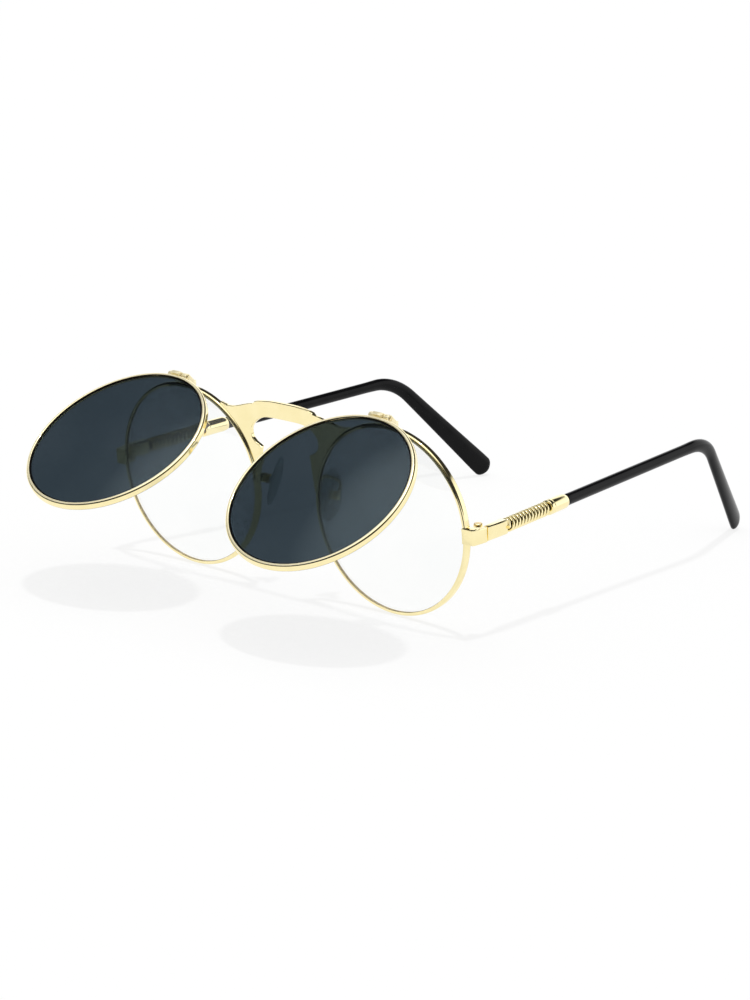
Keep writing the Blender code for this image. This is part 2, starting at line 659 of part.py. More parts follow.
def build_spring(side, name, line, gold):
    path = spring_path(side)
    curve = bpy.data.curves.new(name + "_temple_spring", "CURVE")
    curve.dimensions = "3D"
    curve.bevel_depth = SPRING_WIRE / 2
    curve.bevel_resolution = 1
    curve.use_fill_caps = True
    spline = curve.splines.new("POLY")
    spline.points.add(len(path) - 1)
    for point, place in zip(spline.points, path):
        point.co = (*place, 1.0)
    spring = bpy.data.objects.new(name + "_temple_spring", curve)
    bpy.context.collection.objects.link(spring)
    finish(spring, line, gold)
    print(name, "temple spring, least gap to itself:", round(least_gap(path, SPRING_WIRE) * 1000, 3), "mm")


def build_ferrule(side, name, line, gold):
    bore = ROD_RADIUS + CLEARANCE
    sections = [(FERRULE_START, bore), (FERRULE_START, FERRULE_RADIUS - 0.0002),
                (FERRULE_START + 0.0002, FERRULE_RADIUS), (TIP_START - 0.0010, FERRULE_RADIUS),
                (TIP_START - CLEARANCE, FERRULE_END_RADIUS), (TIP_START - CLEARANCE, bore)]
    rings = [temple_ring(side, distance, circle(radius, BARREL_FACETS)) for distance, radius in sections]
    finish(loft(name + "_temple_ferrule", rings, looped=True), line, gold)


def tip_outline(share):
    """Section of the black tip at a share of its length: round first, a tall paddle at the end."""
    flare = min(max(0.0, (share - 0.5) / 0.46), 1.0)
    grown = flare * (2 - flare) * 0.4 + flare * flare * 0.6
    half_height = (TIP_HEIGHT + (PADDLE_HEIGHT - TIP_HEIGHT) * grown) / 2
    return [(TIP_THICKNESS / 2 * a, half_height * b) for a, b in circle(1.0, TIP_FACETS)]


def build_tip(side, name, line, black):
    """The black tip: a sleeve over the rod, bent down behind the ear, with a rounded end."""
    end = STRAIGHT_LENGTH + BEND_LENGTH + DROP_LENGTH
    rod_end = end - ROD_INSET
    bore = circle(ROD_RADIUS + CLEARANCE, TIP_FACETS)
    bore_stops = stations_between(TIP_START, rod_end + CLEARANCE, 0.0024)
    rings = [temple_ring(side, distance, bore) for distance in reversed(bore_stops)]
    length = end - TIP_START
    blunt = end - PADDLE_ROUNDING
    stops = stations_between(TIP_START, blunt, 0.0024)
    paddle_start = STRAIGHT_LENGTH + BEND_LENGTH
    stops = sorted(set(stops + [paddle_start + (blunt - paddle_start) * k / 5 for k in range(1, 5)]))
    for distance in stops:
        rings.append(temple_ring(side, distance, tip_outline((distance - TIP_START) / length)))
    for angle in (25, 48, 68, 84):
        shrink = cos(radians(angle))
        distance = end - PADDLE_ROUNDING * (1 - sin(radians(angle)))
        section = tip_outline((distance - TIP_START) / length)
        outline = [(a * max(shrink, 0.2), b * shrink) for a, b in section]
        rings.append(temple_ring(side, distance, outline))
    finish(loft(name + "_temple_tip", rings), line, black)


def build_temple(side, name, toe_in, front, gold, black):
    hinge = new_empty(name + "_temple_axis", front, (side * HINGE_X, HINGE_Y, END_RISE),
                      (0.0, 0.0, side * radians(toe_in)))
    line = new_empty(name + "_temple_line", hinge, (0.0, 0.0, 0.0), (-radians(TEMPLE_DIP), 0.0, 0.0))
    build_temple_bar(side, name, hinge, gold)
    build_spring(side, name, line, gold)
    build_ferrule(side, name, line, gold)
    build_tip(side, name, line, black)


def pad_arm_path(side, pivot, frame):
    """Route of a pad arm, from the back of the rim, round in a loop and into the pad box's back."""
    out = PAD_LUG_RADIUS + CLEARANCE + PAD_BOX_WALL + CLEARANCE
    rim_x = HALF_SPACING - sqrt(RIM_RADIUS ** 2 - PAD_ARM_RISE ** 2)
    start = Vector((side * rim_x, RIM_DEPTH / 2 + CLEARANCE, PAD_ARM_RISE))
    end = frame @ Vector((side * out, 0.0, 0.0))
    before_end = frame @ Vector((side * (out + 0.0006), 0.0, 0.0))
    corner = frame @ Vector((side * (out + 0.0012), -0.0001, 0.0012))
    top = frame @ Vector((side * (out + 0.0006), 0.0002, 0.0036))
    depth = pivot[1] - start.y
    lead = start + Vector((0.0, depth * 0.22, 0.0))
    reach = start + Vector((side * 0.0003, depth * 0.62, -0.0001))
    return curve_through([start, lead, reach, top, corner, before_end, end], 3)


def build_pad(side, name, front, gold, steel, soft):
    """Nose pad on its screw, the box that holds it and the wire arm that carries the box."""
    pivot = (side * PAD_PIVOT[0], PAD_PIVOT[1], PAD_PIVOT[2])
    turn = (Matrix.Rotation(-side * radians(PAD_SPLAY), 4, "Z") @ Matrix.Rotation(-radians(PAD_PITCH), 4, "X")
            @ Matrix.Rotation(-side * radians(PAD_LEAN), 4, "Y"))
    frame = Matrix.Translation(pivot) @ turn
    fixed = new_empty(name + "_pad_seat", front, pivot, turn.to_euler())
    axis = new_empty(name + "_pad_axis", front, pivot, turn.to_euler())

    lug_half = PAD_LUG_THICKNESS / 2
    wall_in = lug_half + CLEARANCE
    wall_out = wall_in + PAD_BOX_WALL
    plate = PAD_LUG_RADIUS + CLEARANCE
    mouth = PAD_STANDOFF - PAD_THICKNESS / 2 - 2 * CLEARANCE
    outline = [(side * -mouth, -wall_out), (side * (plate + PAD_BOX_WALL), -wall_out),
               (side * (plate + PAD_BOX_WALL), wall_out), (side * -mouth, wall_out), (side * -mouth, wall_in),
               (side * plate, wall_in), (side * plate, -wall_in), (side * -mouth, -wall_in)]
    pad_box = prism(name + "_pad_box", outline, -PAD_BOX_HEIGHT / 2, PAD_BOX_HEIGHT / 2)
    hole = rod("bore", PAD_SCREW_RADIUS + PIN_CLEARANCE, -wall_out - 0.001, wall_out + 0.001, axis="Y",
               count=SMALL_FACETS)
    finish(combine(pad_box, hole, "DIFFERENCE"), fixed, gold)
    seat = wall_out + PIN_CLEARANCE
    build_screw(name + "_pad_screw", (0.0, 0.0), (seat + PAD_SCREW_HEAD, seat, -wall_out),
                (PAD_SCREW_HEAD_RADIUS, PAD_SCREW_RADIUS), fixed, steel, "Y")
    arm = tube(name + "_pad_arm", pad_arm_path(side, pivot, frame), PAD_ARM_RADIUS, 8)
    finish(arm, front, gold)

    rings = []
    for share in (-0.94, -0.72, -0.38, 0.0, 0.38, 0.72, 0.94):
        scale = sqrt(1 - share ** 2)
        x = side * (-PAD_STANDOFF + PAD_THICKNESS / 2 * share)
        rings.append([(x, PAD_WIDTH / 2 * scale * a, PAD_LENGTH / 2 * scale * b) for a, b in circle(1.0, 20)])
    pad = loft(name + "_nose_pad", rings)
    root = -side * (PAD_STANDOFF - PAD_THICKNESS / 4)
    outline = hull_of(circle(PAD_LUG_RADIUS, SMALL_FACETS)
                      + [(root, -PAD_LUG_RADIUS), (root, PAD_LUG_RADIUS)])
    pad = combine(pad, prism("lug", outline, -lug_half, lug_half, "Y"), "UNION")
    hole = rod("bore", PAD_SCREW_RADIUS + PIN_CLEARANCE, -lug_half - 0.001, lug_half + 0.001, axis="Y",
               count=SMALL_FACETS)
    finish(combine(pad, hole, "DIFFERENCE"), axis, soft)


def solid_bounds():
    """Lowest and highest corners of all the solids, in world space."""
    bpy.context.view_layer.update()
    graph = bpy.context.evaluated_depsgraph_get()
    points = []
    for item in bpy.data.objects:
        if item.type in {"MESH", "CURVE"}:
            shape = item.evaluated_get(graph)
            mesh = shape.to_mesh()
            points += [item.matrix_world @ vertex.co for vertex in mesh.vertices]
            shape.to_mesh_clear()
    low = Vector([min(point[k] for point in points) for k in range(3)])
    high = Vector([max(point[k] for point in points) for k in range(3)])
    return low, high


def build():
    clear_scene()
    gold = new_material("gold", (0.91, 0.76, 0.36), 0.16, 1.0)
    steel = new_material("screw_steel", (0.80, 0.74, 0.58), 0.25, 1.0)
    clear = new_material("clear_lens", (0.95, 0.97, 0.97), 0.03, 0.0, 0.18)
    tinted = new_material("tinted_lens", (0.045, 0.065, 0.085), 0.05, 0.0, 0.85)
    black = new_material("black_acetate", (0.012, 0.012, 0.014), 0.18, 0.0)
    soft = new_material("clear_silicone", (0.90, 0.92, 0.90), 0.30, 0.0, 0.45)

    glasses = new_empty("glasses", None, (0.0, 0.0, 0.0))
    front = new_empty("front_frame", glasses, (0.0, 0.0, RIM_CENTRE_HEIGHT), (TILT, 0.0, 0.0))
    build_bridge(front, gold)
    for side, name, rest, toe_in in ((1, "left", FLIP_REST_LEFT, TOE_IN_LEFT),
                                     (-1, "right", FLIP_REST_RIGHT, TOE_IN_RIGHT)):
        build_rim(side, name, front, gold)
        build_clear_lens(side, name, front, clear)
        build_end_piece(side, name, front, gold, steel)
        build_flip_base(side, name, front, gold, steel)
        build_flip(side, name, rest, front, gold, tinted)
        build_temple(side, name, toe_in, front, gold, black)
        build_pad(side, name, front, gold, steel, soft)
    low, high = solid_bounds()
    glasses.location = (-(low.x + high.x) / 2, -(low.y + high.y) / 2, -low.z)
    bpy.context.view_layer.update()


build()
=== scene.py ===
"""Looks of the flip-up reading glasses: polished pale gold wire, clear and tinted lenses, black tips.

Metres and degrees. +X is the wearer's left, -Y is the way the wearer looks, +Z is up.
The front's pieces are drawn in the plane of its rims: x across, y back, z up from the rims' centre.
"""
import json
from math import acos, asin, ceil, copysign, cos, pi, radians, sin, sqrt

import bmesh
import bpy
from mathutils import Matrix, Vector


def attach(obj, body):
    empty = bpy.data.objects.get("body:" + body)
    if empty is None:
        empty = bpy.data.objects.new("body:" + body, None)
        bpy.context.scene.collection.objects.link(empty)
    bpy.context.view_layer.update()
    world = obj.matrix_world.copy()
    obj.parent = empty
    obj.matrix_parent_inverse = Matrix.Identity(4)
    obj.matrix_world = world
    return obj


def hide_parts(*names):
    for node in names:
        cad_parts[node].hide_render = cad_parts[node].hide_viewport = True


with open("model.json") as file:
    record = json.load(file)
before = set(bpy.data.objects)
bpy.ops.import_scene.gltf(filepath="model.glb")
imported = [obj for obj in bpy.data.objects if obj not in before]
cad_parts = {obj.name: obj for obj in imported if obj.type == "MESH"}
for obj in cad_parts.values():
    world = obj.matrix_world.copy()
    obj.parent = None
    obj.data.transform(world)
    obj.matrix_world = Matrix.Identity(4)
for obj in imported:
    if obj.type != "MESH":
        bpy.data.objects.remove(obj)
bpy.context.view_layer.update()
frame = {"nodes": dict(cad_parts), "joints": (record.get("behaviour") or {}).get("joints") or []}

JOINTS = {joint["name"]: joint for joint in frame["joints"]}

TOLERANCE = 1e-9
# Materials of a lens ring's strips, in the order in which the ring gets them. The dark one is painted
# shade and dark reflection.
POLISHED, BROWN, PAINTED_DARK, SATIN = range(4)

# Front. A shoulder is the round front edge of a ring's section: for each strip its length, its slopes
# at both ends in degrees from the ring's plane, and its material.
HALF_SPACING = 0.0349
RIM_RADIUS = 0.0244
RIM_WALL = 0.0011
RIM_DEPTH = 0.0018
TILT = radians(5.735)
CLEARANCE = 0.0003
RIM_INNER = RIM_RADIUS - RIM_WALL / 2
RIM_OUTER = RIM_RADIUS + RIM_WALL / 2
RIM_CENTRE_HEIGHT = RIM_OUTER * cos(TILT) + RIM_DEPTH / 2 * sin(TILT)
GROOVE_DEPTH = 0.0005
SHOULDER_STEPS = 6
LIP_ROUNDING = 0.00005
# The rim's second strip is near-black: a painted dark reflection line along the shoulder, not a groove.
RIM_SHOULDER = [(0.00045, 3, 14, POLISHED), (0.00018, 14, 26, PAINTED_DARK), (0.00039, 26, 56, POLISHED),
                (0.00026, 56, 88, POLISHED)]
RIM_FACETS = 220
# Back edge of a ring's section: distance in from the outside, distance from the back, and material
BACK_EDGE = [(0.0, 0.00036, POLISHED), (0.0, 0.00018, BROWN), (0.00007, 0.00005, POLISHED),
             (0.00020, 0.0, POLISHED)]
LENS_EDGE = 0.0016
LENS_CENTRE = 0.0021
LENS_CURVE = 0.160
LENS_PLAY = 0.00002
LENS_SEATING = GROOVE_DEPTH * 0.8
LENS_ROWS = 14
LENS_FACETS = 144
END_TOP = 0.00265
END_BOTTOM = -0.00125
# Depth of the solids' facets below their round forms
FACET_SAG = 0.00006
WELD_DISTANCE = 0.000002
BEVEL_SEGMENTS = 3
BEVEL_ANGLE = 40

# Bridge plate, one half. Beside the rim: degrees round the rim and distance from the seam. Over the
# nose: x and height above the rims' tops.
BRIDGE_THICKNESS = 0.0012
BRIDGE_SETBACK = 0.0002
EDGE_ROUNDING = 0.00022
EDGE_TURN = 15
NARROW_SHARE = 0.3
SEAM_STEPS = 48
BRIDGE_TOP = [(0.0, 0.0001), (0.0044, 0.00003), (0.00835, -0.0004), (0.01005, -0.0008)]
BRIDGE_SHOULDER = [(135.9, 0.0085), (133.7, 0.0067), (128.7, 0.0027), (124.7, 0.00095)]
BRIDGE_SEAM_START = 119.2
BRIDGE_LIMB = [(171.9, 0.0002), (168.7, 0.0008), (165.2, 0.0013), (160.8, 0.0022), (157.9, 0.0029),
               (155.2, 0.0039)]
ARCH_SIDE = [(151.7, 0.0026), (148.4, 0.0022), (145.7, 0.0027), (144.0, 0.0035), (143.1, 0.0054)]
ARCH_CROWN = [(0.00845, -0.00525), (0.0059, -0.00445), (0.0, -0.0043)]
OUTLINE_STEPS = 6
OUTLINE_SPACING = 0.00030
# Section of a solder bead: distance out from the rim, and y
SOLDER_BEAD = [(-0.0001, -0.00035), (0.0004, -0.00035), (0.0004, 0.00055), (-0.0001, 0.00055)]
SOLDER_SETBACK = 1.0
SOLDER_FACETS = 40

# Flip-up lenses
FLIP_RING_RADIUS = 0.02465
FLIP_RING_WALL = 0.0011
FLIP_RING_DEPTH = 0.0018
FLIP_SHOULDER = [(0.00025, -30, 2, SATIN), (0.00032, 2, 24, SATIN), (0.00018, 26, 38, POLISHED),
                 (0.00036, 38, 62, POLISHED), (0.00014, 62, 88, POLISHED)]
FLIP_RING_FACETS = 240
FLIP_RING_Y = -0.00112
FLIP_RING_DROP = 0.02645
FLIP_AXIS_Y = -0.00234
FLIP_AXIS_Z = 0.02775
FLIP_REST = {"left": 58.6, "right": 62.6}
DARK_LENS_THICKNESS = 0.0010
# Width and drop of the tinted lens's border of painted shade
DARK_EDGE_WIDTH = 0.00045
DARK_EDGE_DROP = 0.00006

# Screws of the temple hinges. The slot's floor is a share of the head's height, the rim has shares of
# its radius and height, and the top and the slot's ends are shares of its radius.
END_HEIGHT = 0.0039
PIN_CLEARANCE = 0.00012
HINGE_SCREW_RADIUS = 0.0005
HINGE_SCREW_HEAD_RADIUS = 0.0011
HINGE_SCREW_HEAD = 0.0003
HINGE_SCREW_SLOT = 0.00036
HINGE_SCREW_FLOOR = 0.35
HINGE_SCREW_RIM = (0.97, 0.7)
HINGE_SCREW_TOP = 0.86
HINGE_SCREW_SLOT_END = 0.96
HINGE_SCREW_FACETS = 48
HINGE_SCREW_ARC = 20
HINGE_SLOT_TURN = {"left": 35.0, "right": 110.0}

# Temples
BAR_CENTRE = 0.0022
BAR_LENGTH = 0.0076
ROD_RADIUS = 0.0005
CORE_RADIUS = 0.00105
CORE_SETBACK = 0.0002
CORE_FACETS = 24
SPRING_OUTER_RADIUS = 0.00187
SPRING_WIRE = 0.00072
SPRING_TURNS = 12.5
SPRING_LEAD = SPRING_WIRE * 1.2
SPRING_LEAD_STRAIGHT = SPRING_LEAD * 0.4
SPRING_LEAD_TURN = 50.0
SPRING_POINTS = 28
SPRING_FACETS = 16
SPRING_FLATNESS = 1.14
SPRING_SQUARENESS = 0.7
FERRULE_START = 0.0263
FERRULE_LENGTH = 0.0078
FERRULE_RADIUS = 0.00197
FERRULE_END_RADIUS = 0.0018
FERRULE_FACETS = 48
# Distance from the ferrule's front and cut below its radius, with a groove round it
FERRULE_FRONT = [(0.0, 0.00025), (0.00012, 0.00006), (0.0003, 0.0), (0.0011, 0.0), (0.0012, 0.00009),
                 (0.0014, 0.00009), (0.0015, 0.0)]
# Distance from the ferrule's back and radius
FERRULE_BACK = [(0.0014, FERRULE_RADIUS), (0.0004, FERRULE_END_RADIUS + 0.00005),
                (0.0001, FERRULE_END_RADIUS - 0.0001), (0.0, FERRULE_END_RADIUS - 0.0003)]
TIP_START = FERRULE_START + FERRULE_LENGTH
STRAIGHT_LENGTH = 0.0945
BEND_LENGTH = 0.0145
BEND_ANGLE = 46.6
DROP_LENGTH = 0.0382
PADDLE_TURN = 11.0
TEMPLE_DIP = 2.3
TIP_HEIGHT = 0.0032
TIP_THICKNESS = 0.0026
PADDLE_HEIGHT = 0.0062
PADDLE_ROUNDING = 0.0024
PADDLE_ROUNDING_STEPS = 11
PADDLE_ROUNDING_TURN = 7.6
TIP_SETBACK = FACET_SAG * 1.4
TIP_END = STRAIGHT_LENGTH + BEND_LENGTH + DROP_LENGTH - TIP_SETBACK
# Share of the full section and distance from the tip's front
TIP_FRONT = [(0.55, 0.0), (0.86, 0.00002), (0.96, 0.0002)]
TIP_FRONT_LENGTH = 0.0006
TIP_ROWS = 90
TIP_FACETS = 40
# The tip's height grows to the paddle's from one share of its length on and over another. The ease is
# the share of the growth that is quick at first, and the rest is slow at first.
FLARE_START = 0.5
FLARE_RUN = 0.46
FLARE_EASE = 0.4
TOE_IN = {"left": 3.0, "right": 4.2}

# Camera, fitted to the photo
CAMERA_AZIMUTH = 40.677
CAMERA_ELEVATION = 14.046
CAMERA_ROLL = 1.094
CAMERA_DISTANCE = 0.732078
CAMERA_AIM = (0.02932, 0.0, 0.029217)
CAMERA_LENS = 104.837

# Studio. The sky is for gloss only. Its levels go by the sine of the height above the horizon: for the
# backdrop less its height behind the object, and for the ceiling less a share of y.
FLOOR_HEIGHT = -0.0002
FLOOR_REACH = 3.0
FLOOR_WHITE = 0.9
FLOOR_GLOW = 0.80
BACKDROP = [(-1.0, 1.35), (-0.08, 1.3), (0.0, 1.0), (0.02, 1.0), (0.07, 0.03)]
BACKDROP_HEIGHT = 0.53
BACKDROP_RISE = (-0.1, 0.5)
CEILING = [(0.0, 0.0), (0.64, 0.0), (0.80, 0.16), (0.87, 1.1), (0.93, 1.5), (1.0, 1.7)]
CEILING_SLOPE = 0.20
DIFFUSE_LEVEL = 0.75
LAMP_FROM = (0.0, 0.06, 1.0)
LAMP_STRENGTH = 1.15
LAMP_ANGLE = 3.5

# Finishes: where the drift between the shades starts and ends, and the height of the fine bump
SHADE_RANGE = (0.35, 0.65)
BUMP_HEIGHT = 0.00002

SIDES = (("left", 1), ("right", -1))


# Helpers for shapes

def new_object(name, bm):
    bmesh.ops.recalc_face_normals(bm, faces=bm.faces)
    mesh = bpy.data.meshes.new(name)
    bm.to_mesh(mesh)
    bm.free()
    item = bpy.data.objects.new(name, mesh)
    bpy.context.collection.objects.link(item)
    return item


def skin(bm, rings, looped=False, marks=None):
    """Skin rings of equal point counts, and close the first and the last unless they are looped.

    marks gives each strip between points its material number.
    """
    rows = [[bm.verts.new(point) for point in ring] for ring in rings]
    count = len(rows[0])
    last = len(rows) if looped else len(rows) - 1
    for index in range(last):
        row = rows[index]
        following = rows[(index + 1) % len(rows)]
        for corner in range(count):
            after = (corner + 1) % count
            face = bm.faces.new((row[corner], row[after], following[after], following[corner]))
            if marks:
                face.material_index = marks[corner]
    if not looped:
        bm.faces.new(rows[0])
        bm.faces.new(rows[-1])


def loft(name, rings, looped=False, marks=None):
    bm = bmesh.new()
    skin(bm, rings, looped, marks)
    return new_object(name, bm)


def dense(outline, spacing):
    """A closed outline with extra points on its long straight runs."""
    result = []
    for index, point in enumerate(outline):
        here, after = Vector(point), Vector(outline[(index + 1) % len(outline)])
        steps = max(1, ceil((after - here).length / spacing))
        result += [tuple(here.lerp(after, step / steps)) for step in range(steps)]
    return result


def inset(outline, amount):
    """A closed outline drawn in by an amount, and by less where the outline is narrow."""
    count = len(outline)
    points = [Vector(point) for point in outline]
    area = sum(points[i - 1].cross(points[i]) for i in range(count))
    inward = 1.0 if area > 0 else -1.0
    result = []
    for index, here in enumerate(points):
        before = here - points[index - 1]
        after = points[(index + 1) % count] - here
        along = (before.normalized() + after.normalized()).normalized()
        room = min((here - points[(index + step) % count]).length for step in range(2, count - 1))
        shift = min(amount, NARROW_SHARE * room) * inward
        result.append((here.x - along.y * shift, here.y + along.x * shift))
    return result


def circle(radius, count, start=0.0):
    return [(radius * cos(start + 2 * pi * k / count), radius * sin(start + 2 * pi * k / count))
            for k in range(count)]


def curve_through(points, steps):
    """A smooth curve through points of any dimension, with some steps between each two."""
    knots = [Vector(point) for point in points]
    knots = [2 * knots[0] - knots[1]] + knots + [2 * knots[-1] - knots[-2]]
    result = []
    for index in range(1, len(knots) - 2):
        before, here, there, after = knots[index - 1:index + 3]
        for step in range(steps):
            t = step / steps
            result.append(0.5 * (2 * here + (there - before) * t
                                 + (2 * before - 5 * here + 4 * there - after) * t * t
                                 + (3 * here - before - 3 * there + after) * t * t * t))
    result.append(knots[-2])
    return result


def smooth(item, angle):
    """Smooth shading, apart from sharp edges and the flat end faces."""
    item.data.shade_smooth()
    item.data.set_sharp_from_angle(angle=radians(angle))
    for face in item.data.polygons:
        if len(face.vertices) > 4:
            face.use_smooth = False


def welded(item):
    """Join the double points of a CAD node, whose triangles share none."""
    weld = item.modifiers.new("Weld", "WELD")
    weld.merge_threshold = WELD_DISTANCE


def bevelled(item, width):
    """Rounded edges, as polishing leaves them."""
    welded(item)
    bevel = item.modifiers.new("Edge rounding", "BEVEL")
    bevel.width = width
    bevel.segments = BEVEL_SEGMENTS
    bevel.limit_method = "ANGLE"
    bevel.angle_limit = radians(BEVEL_ANGLE)
    bevel.use_clamp_overlap = True
    bevel.harden_normals = True


def dress(item, matrix, body, nodes, slot, *materials):
    """Put a piece in its place, on its body, for the nodes that it stands for."""
    item.data.transform(matrix)
    for material in materials:
        item.data.materials.append(material)
    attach(item, body)
    if nodes:
        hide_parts(*nodes)


# Helpers for materials

def new_material(name):
    material = bpy.data.materials.new(name)
    material.use_nodes = True
    return material, material.node_tree.nodes, material.node_tree.links


def math_node(nodes, links, operation, first, second):
    node = nodes.new("ShaderNodeMath")
    node.operation = operation
    links.new(first, node.inputs[0])
    links.new(second, node.inputs[1])
    return node


def surface(name, pale, deep, roughness, grain, metallic=0.0, bump=0.0, speckle=1200.0, lean=0.0,
            **sockets):
    """A finish whose colour drifts between two shades and whose polish varies, with a fine bump.

    A lean, which goes with a bump, is the slight turn of a pressed face towards the floor, as a share
    of its height. Other sockets of the shader are set by name.
    """
    material, nodes, links = new_material(name)
    shader = nodes["Principled BSDF"]
    place = nodes.new("ShaderNodeTexCoord")
    drift = nodes.new("ShaderNodeTexNoise")
    drift.inputs["Scale"].default_value = grain
    drift.inputs["Detail"].default_value = 3.0
    links.new(place.outputs["Object"], drift.inputs["Vector"])
    shades = nodes.new("ShaderNodeValToRGB")
    shades.color_ramp.elements[0].position = SHADE_RANGE[0]
    shades.color_ramp.elements[0].color = (*deep, 1.0)
    shades.color_ramp.elements[1].position = SHADE_RANGE[1]
    shades.color_ramp.elements[1].color = (*pale, 1.0)
    links.new(drift.outputs["Fac"], shades.inputs["Fac"])
    links.new(shades.outputs["Color"], shader.inputs["Base Color"])
    fine = nodes.new("ShaderNodeTexNoise")
    fine.inputs["Scale"].default_value = speckle
    fine.inputs["Detail"].default_value = 4.0
    links.new(place.outputs["Object"], fine.inputs["Vector"])
    polish = nodes.new("ShaderNodeMapRange")
    polish.inputs["To Min"].default_value = roughness[0]
    polish.inputs["To Max"].default_value = roughness[1]
    links.new(fine.outputs["Fac"], polish.inputs["Value"])
    links.new(polish.outputs["Result"], shader.inputs["Roughness"])
    if bump:
        relief = nodes.new("ShaderNodeBump")
        relief.inputs["Strength"].default_value = bump
        relief.inputs["Distance"].default_value = BUMP_HEIGHT
        links.new(fine.outputs["Fac"], relief.inputs["Height"])
        links.new(relief.outputs["Normal"], shader.inputs["Normal"])
    if bump and lean:
        height = nodes.new("ShaderNodeSeparateXYZ")
        links.new(place.outputs["Object"], height.inputs["Vector"])
        dish = nodes.new("ShaderNodeBump")
        dish.inputs["Distance"].default_value = lean
        links.new(height.outputs["Z"], dish.inputs["Height"])
        links.new(relief.outputs["Normal"], dish.inputs["Normal"])
        links.new(dish.outputs["Normal"], shader.inputs["Normal"])
    shader.inputs["Metallic"].default_value = metallic
    for socket, value in sockets.items():
        shader.inputs[socket.replace("_", " ")].default_value = value
    return material


GOLD = surface("pale_gold", (1.0, 0.885, 0.52), (0.97, 0.85, 0.48), roughness=(0.05, 0.12),
               grain=260.0, metallic=1.0, bump=0.02)
PRESSED_GOLD = surface("pressed_gold", (1.0, 0.885, 0.52), (0.97, 0.85, 0.48), roughness=(0.05, 0.12),
                       grain=260.0, metallic=1.0, bump=0.02, lean=0.08)
SATIN_GOLD = surface("satin_gold", (1.0, 0.91, 0.62), (0.97, 0.87, 0.57), roughness=(0.25, 0.40),
                     grain=260.0, metallic=0.45, bump=0.02)
SCREW = surface("screw_gold", (0.90, 0.77, 0.44), (0.78, 0.62, 0.32), roughness=(0.12, 0.25),
                grain=500.0, metallic=1.0, bump=0.06)
BROWN_LINE = surface("brown_line", (0.16, 0.085, 0.025), (0.07, 0.035, 0.010), roughness=(0.25, 0.45),
               grain=700.0, metallic=0.5, bump=0.05, Specular_IOR_Level=0.2)
# Near-black painted shade and dark reflection, for lines on the rings and the shade between the spring's
# turns.
PAINTED_SHADE = surface("painted_shade_dark", (0.030, 0.020, 0.010), (0.012, 0.008, 0.004), roughness=(0.3, 0.5),
                 grain=700.0, bump=0.05, Specular_IOR_Level=0.2)
# Near-black painted shade on the tinted lens's edge and front border, for the dark line where it meets
# the ring.
PAINTED_SHADE_LENS_EDGE = surface("painted_shade_lens_edge", (0.006, 0.007, 0.008), (0.002, 0.002, 0.003),
                          roughness=(0.3, 0.5), grain=700.0, Specular_IOR_Level=0.1)
# Olive-gold painted reflection on the clear lens's edge, for the ring's gold wall as it shows through
# the lens.
PAINTED_REFLECTION_LENS_EDGE = surface("painted_reflection_lens_edge", (0.46, 0.36, 0.18), (0.30, 0.23, 0.10),
                         roughness=(0.3, 0.5), grain=700.0, bump=0.05, Specular_IOR_Level=0.2)
BLACK = surface("black_acetate", (0.005, 0.005, 0.0055), (0.002, 0.002, 0.0025),
                roughness=(0.06, 0.13), grain=150.0, bump=0.02, Specular_IOR_Level=0.10)
SILICONE = surface("clear_silicone", (0.76, 0.81, 0.80), (0.66, 0.72, 0.71), roughness=(0.10, 0.25),
                   grain=300.0, bump=0.05, Alpha=0.6, Specular_IOR_Level=0.5)
CLEAR = surface("clear_lens_resin", (0.99, 0.995, 0.99), (0.975, 0.985, 0.98),
                roughness=(0.0, 0.01), grain=60.0, speckle=400.0, Transmission_Weight=1.0, IOR=1.5)
# The tinted lenses' coating reflects a little blue-green.
TINTED = surface("tinted_lens_resin", (0.036, 0.052, 0.066), (0.030, 0.045, 0.058),
                 roughness=(0.0, 0.003), grain=40.0, speckle=400.0, Transmission_Weight=1.0, IOR=1.42,
                 Specular_Tint=(0.72, 0.94, 1.0, 1.0))


# Places of the frames

flip_pivot = Vector(JOINTS["left_flip_hinge"]["pos_m"])
tilting = Matrix.Rotation(TILT, 4, "X")
front_origin = flip_pivot - tilting @ Vector((HALF_SPACING, FLIP_AXIS_Y, FLIP_AXIS_Z))
FRONT = Matrix.Translation(front_origin) @ tilting
GROUND = front_origin - Vector((0.0, 0.0, RIM_CENTRE_HEIGHT))


def flip_frame(name):
    pivot = Vector(JOINTS[name + "_flip_hinge"]["pos_m"])
    return Matrix.Translation(pivot) @ tilting @ Matrix.Rotation(-radians(FLIP_REST[name]), 4, "X")


def temple_frame(name, side):
    pivot = Vector(JOINTS[name + "_temple_hinge"]["pos_m"])
    toe = Matrix.Rotation(side * radians(TOE_IN[name]), 4, "Z")
    return Matrix.Translation(pivot) @ tilting @ toe @ Matrix.Rotation(-radians(TEMPLE_DIP), 4, "X")


# Lens rings

